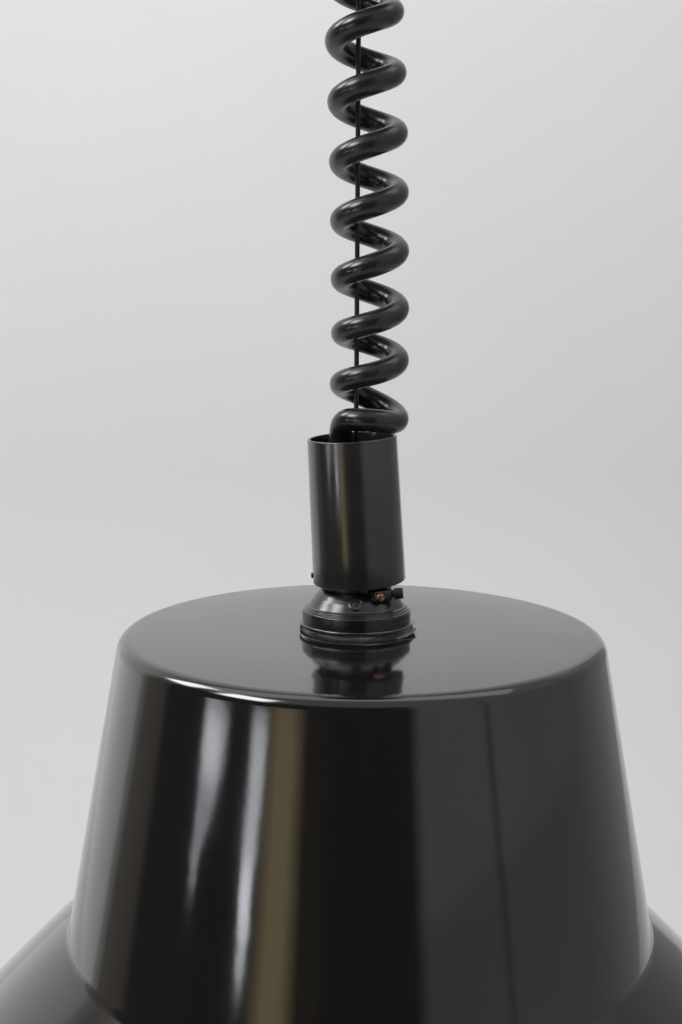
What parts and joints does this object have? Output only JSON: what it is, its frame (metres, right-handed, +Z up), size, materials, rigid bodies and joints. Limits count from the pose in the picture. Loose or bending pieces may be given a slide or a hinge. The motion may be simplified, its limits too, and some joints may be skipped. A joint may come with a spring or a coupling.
{
  "type": "rise-and-fall pendant lamp",
  "caption": "Pull-down pendant lamp: spring reel under a ceiling cover, wire rope inside a curly cord, lampholder with cover tube, and a wide black enamelled shade.",
  "frame": {"origin": "on the ceiling face of the bracket, on the line of the wire rope", "axes": "+Z up to the ceiling, -Y towards the viewer, +X to the viewer's right; the lamp hangs towards -Z"},
  "size_m": [0.4528, 0.4528, 0.6285],
  "materials": {
    "zinc_steel": "zinc plated",
    "black_coated_steel": "satin powder coat",
    "black_enamel": "gloss vitreous enamel, white inside",
    "black_plated_metal": "semi-gloss black plating",
    "gloss_black_lacquer": "gloss lacquer",
    "black_cord": "satin sheath",
    "black_rope": "coated wire rope",
    "black_moulding": "moulded",
    "drum_moulding": "moulded acetal",
    "spring_steel": "blued",
    "felt": "pressed felt",
    "brass": "turned",
    "copper": "copper plated",
    "terminal_moulding": "moulded",
    "core_sleeve": "extruded",
    "gasket": "thin sheet",
    "porcelain": "glazed",
    "nickel": "plated",
    "opal_glass": "opal",
    "black_glass": "fused glass"
  },
  "bodies": {
    "ceiling_unit": {"ceiling_bracket": "zinc_steel", "canopy": "black_coated_steel", "canopy_screws": "black_plated_metal", "reel_frame": "zinc_steel", "frame_screws": "zinc_steel", "reel_axle": "zinc_steel", "axle_clips": "spring_steel", "brake_pad": "felt", "terminal_block": "terminal_moulding", "terminal_screws": "brass", "earth_tag": "nickel", "outlet_bush": "black_moulding", "bush_nut": "black_moulding", "rope_lead": "black_rope", "cord_lead_in": "black_cord", "upper_cores": "core_sleeve"},
    "reel_drum": {"rope_drum": "drum_moulding", "drum_cover": "drum_moulding", "mainspring": "spring_steel", "rope_winding": "black_rope"},
    "brake_adjuster": {"brake_screw": "brass"},
    "hanging_line": {"wire_rope": "black_rope", "curly_cord": "black_cord", "cord_tail_upper": "black_cord"},
    "lamp_head": {"rope_ferrule": "nickel", "holder_cap": "black_plated_metal", "cap_rivet": "black_plated_metal", "grip_collar": "black_plated_metal", "grip_lug": "black_plated_metal", "earth_screw": "copper", "clamp_screw": "black_plated_metal", "holder_ring": "black_plated_metal", "ring_gasket": "gasket", "holder_body": "black_plated_metal", "ceramic_insert": "porcelain", "screw_shell": "brass", "centre_contact": "copper", "side_contact": "copper", "insert_screws": "brass", "shade": "black_enamel", "shade_ring": "black_plated_metal", "cord_tail_lower": "black_cord", "lower_cores": "core_sleeve"},
    "cord_cover": {"cover_tube": "gloss_black_lacquer", "cover_screw": "black_plated_metal"},
    "bulb": {"bulb_cap": "nickel", "bulb_insulator": "black_glass", "bulb_contact": "nickel", "bulb_glass": "opal_glass"}
  },
  "joints": [
    {"name": "line_swing", "type": "hinge", "parent": "ceiling_unit", "child": "hanging_line", "pos_m": [0, 0, -0.107], "axis": [0, 1, 0], "range_deg": [-12, 12], "deforming": ["cord_tail_upper"]},
    {"name": "head_pull", "type": "slide", "parent": "hanging_line", "child": "lamp_head", "axis": [0, 0, 1], "range_m": [-0.16, 0.07], "deforming": ["curly_cord", "wire_rope"]},
    {"name": "drum_turn", "type": "hinge", "parent": "ceiling_unit", "child": "reel_drum", "pos_m": [0, 0.025, -0.04], "axis": [1, 0, 0], "range_deg": [-180, 405]},
    {"name": "brake_turn", "type": "hinge", "parent": "ceiling_unit", "child": "brake_adjuster", "pos_m": [-0.015, 0.025, -0.059], "axis": [1, 0, 0], "range_deg": [-180, 180]},
    {"name": "cover_turn", "type": "hinge", "parent": "lamp_head", "child": "cord_cover", "pos_m": [0.0015, 0.0003, -0.3586], "axis": [-0.0568, -0.0473, 0.9973], "range_deg": [-180, 180]},
    {"name": "bulb_unscrew", "type": "slide", "parent": "lamp_head", "child": "bulb", "axis": [0, 0, -1], "range_m": [0, 0.03]}
  ],
  "couplings": [
    {"joint": "drum_turn", "follows": "head_pull", "rad_per_m": -43.668}
  ]
}
